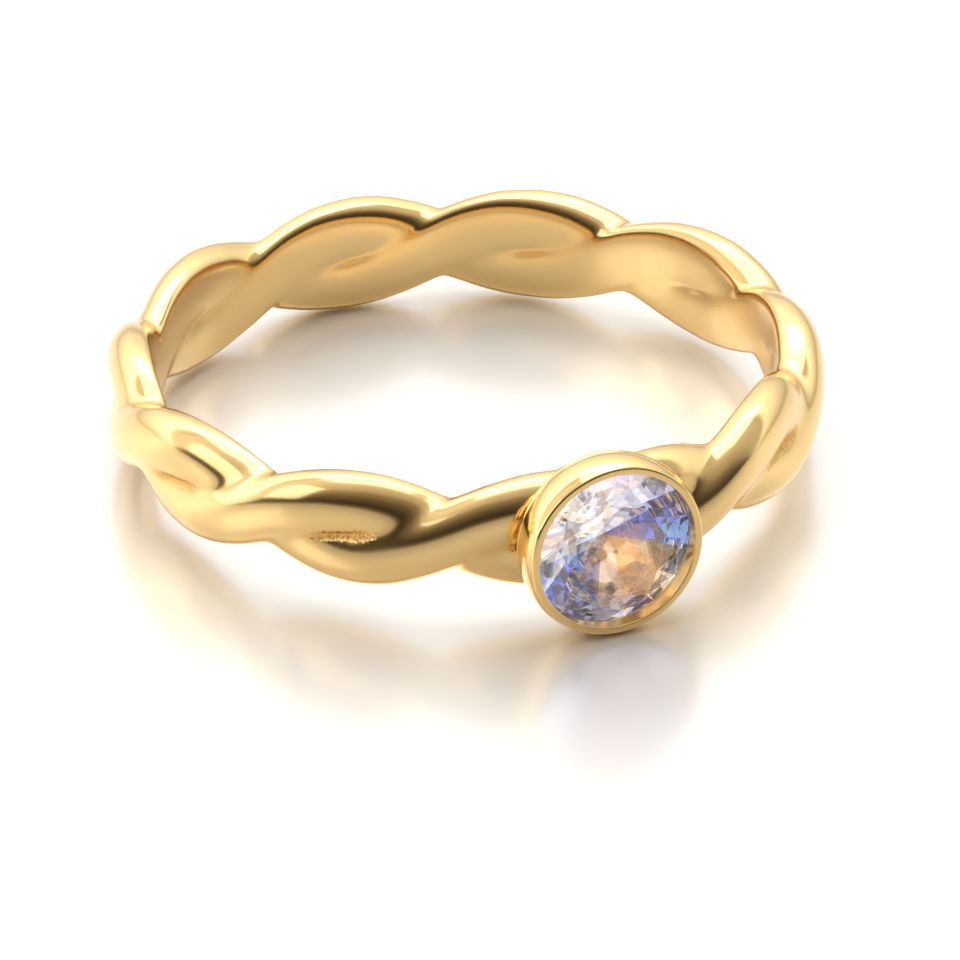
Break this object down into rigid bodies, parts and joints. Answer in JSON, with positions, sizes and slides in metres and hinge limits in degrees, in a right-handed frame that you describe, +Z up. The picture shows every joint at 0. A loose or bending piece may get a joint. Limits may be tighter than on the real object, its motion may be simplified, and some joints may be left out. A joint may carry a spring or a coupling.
{
  "type": "braided band ring",
  "caption": "Finger ring with a band of two twisted polished strands and a round faceted stone in a plain bezel, lying on its side.",
  "frame": {"origin": "middle of the ring's outline, on the surface it lies on", "axes": "+Z up out of the surface, -Y towards the setting, +X to the right of a person who looks at the stone"},
  "size_m": [0.0204, 0.0213, 0.0052],
  "materials": {
    "yellow_metal": "polished",
    "pale_stone": "polished facets"
  },
  "bodies": {
    "root": {"braided_band": "yellow_metal", "stone": "pale_stone"}
  },
  "joints": []
}
